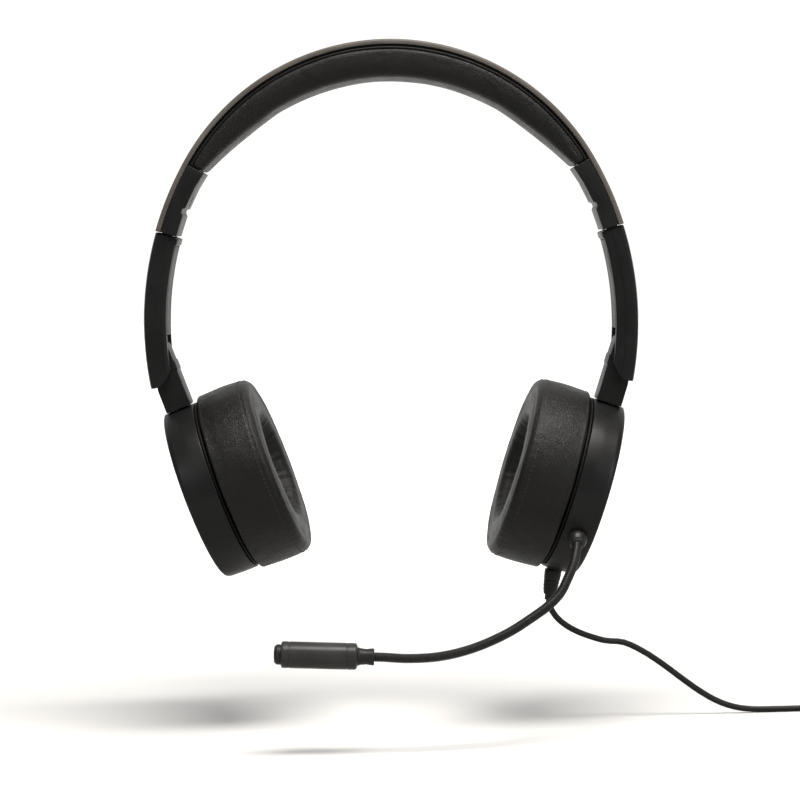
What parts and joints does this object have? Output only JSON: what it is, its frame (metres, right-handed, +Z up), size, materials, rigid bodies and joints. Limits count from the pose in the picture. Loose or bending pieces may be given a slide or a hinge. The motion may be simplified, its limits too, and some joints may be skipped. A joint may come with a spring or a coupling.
{
  "type": "gaming headset",
  "caption": "Over-the-head headset with padded band, sliding arms, folding and swivelling on-ear cups, flexible boom microphone and thin lead to a jack plug.",
  "frame": {"origin": "underside of the headband pad at its centre, where the head or a stand's cradle carries the headset", "axes": "+Z up through the band's crown, +X towards the wearer's left ear (the microphone side), +Y towards the back of the head; at its unextended size with the microphone forward"},
  "size_m": [0.2961, 0.1764, 0.251],
  "materials": {
    "cover_plastic": "satin moulded plastic, faint warm sheen along the edge",
    "steel": "plain steel",
    "screw_steel": "blackened steel",
    "frame_plastic": "matt moulded plastic",
    "arm_plastic": "fine-textured matt plastic",
    "arm_cover_plastic": "satin plastic",
    "cup_plastic": "fine-textured satin plastic",
    "leatherette": "soft imitation leather, fine grain",
    "cord_rubber": "soft matt jacket",
    "boom_rubber": "matt rubber, finely ribbed on the boom",
    "mic_satin": "satin dark grey",
    "mic_black": "matt, perforated",
    "speaker_plastic": "matt",
    "diaphragm_film": "thin film",
    "grille_cloth": "fine black cloth",
    "board_green": "solder mask",
    "tie_strap": "woven hook and loop strap",
    "plug_plastic": "satin",
    "contact_gold": "gold plated"
  },
  "bodies": {
    "headband": {"headband_outer_cover": "cover_plastic", "spring_band": "steel", "headband_inner_frame": "frame_plastic", "headband_pad": "leatherette", "slider_housing_left": "frame_plastic", "slider_housing_right": "frame_plastic", "housing_screws": "screw_steel", "detent_springs": "steel", "headband_lead": "cord_rubber"},
    "arm_left": {"arm_shell_left": "arm_plastic", "arm_cover_left": "arm_cover_plastic", "slider_tongue_left": "steel", "fold_pin_left": "steel"},
    "hanger_left": {"stem_left": "arm_plastic", "swivel_post_left": "steel", "swivel_clip_left": "steel"},
    "cup_left": {"cup_shell_left": "cup_plastic", "cup_cap_left": "cup_plastic", "baffle_left": "frame_plastic", "speaker_frame_left": "speaker_plastic", "speaker_magnet_left": "steel", "speaker_diaphragm_left": "diaphragm_film", "ear_grille_left": "grille_cloth", "cushion_ring_left": "frame_plastic", "ear_cushion_left": "leatherette", "cup_screws_left": "screw_steel", "circuit_board": "board_green", "mic_socket": "frame_plastic", "strain_relief": "cord_rubber", "cord_lead": "cord_rubber", "cord_coil": "cord_rubber", "cord_tie": "tie_strap", "plug_boot": "cord_rubber", "plug_body": "plug_plastic", "plug_pin": "contact_gold"},
    "arm_right": {"arm_shell_right": "arm_plastic", "arm_cover_right": "arm_cover_plastic", "slider_tongue_right": "steel", "fold_pin_right": "steel"},
    "hanger_right": {"stem_right": "arm_plastic", "swivel_post_right": "steel", "swivel_clip_right": "steel"},
    "cup_right": {"cup_shell_right": "cup_plastic", "cup_cap_right": "cup_plastic", "baffle_right": "frame_plastic", "speaker_frame_right": "speaker_plastic", "speaker_magnet_right": "steel", "speaker_diaphragm_right": "diaphragm_film", "ear_grille_right": "grille_cloth", "cushion_ring_right": "frame_plastic", "ear_cushion_right": "leatherette", "cup_screws_right": "screw_steel"},
    "boom": {"boom_plug": "steel", "boom_collar": "boom_rubber", "gooseneck": "boom_rubber", "mic_neck": "boom_rubber", "mic_barrel": "mic_satin", "mic_capsule": "steel", "mic_end_cap": "mic_black"}
  },
  "joints": [
    {"name": "size_slide_left", "type": "hinge", "parent": "headband", "child": "arm_left", "pos_m": [-0.02988, 0, -0.08775], "axis": [0, 1, 0], "range_deg": [0, 9.8]},
    {"name": "cup_fold_left", "type": "hinge", "parent": "arm_left", "child": "hanger_left", "pos_m": [0.0856, 0, -0.0966], "axis": [0, -1, 0], "range_deg": [-28, 2]},
    {"name": "cup_swivel_left", "type": "hinge", "parent": "hanger_left", "child": "cup_left", "pos_m": [0.06915, 0, -0.14877], "axis": [0.3007, 0, 0.9537], "range_deg": [-15.5, 8.5]},
    {"name": "size_slide_right", "type": "hinge", "parent": "headband", "child": "arm_right", "pos_m": [0.02988, 0, -0.08775], "axis": [0, -1, 0], "range_deg": [0, 9.8]},
    {"name": "cup_fold_right", "type": "hinge", "parent": "arm_right", "child": "hanger_right", "pos_m": [-0.0856, 0, -0.0966], "axis": [0, 1, 0], "range_deg": [-28, 2]},
    {"name": "cup_swivel_right", "type": "hinge", "parent": "hanger_right", "child": "cup_right", "pos_m": [-0.06689, 0, -0.148], "axis": [0.342, 0, -0.9397], "range_deg": [-15.5, 8.5]},
    {"name": "boom_turn", "type": "hinge", "parent": "cup_left", "child": "boom", "pos_m": [0.06915, 0, -0.14877], "axis": [-0.105, -0.8556, -0.5069], "range_deg": [-90, 10]}
  ]
}
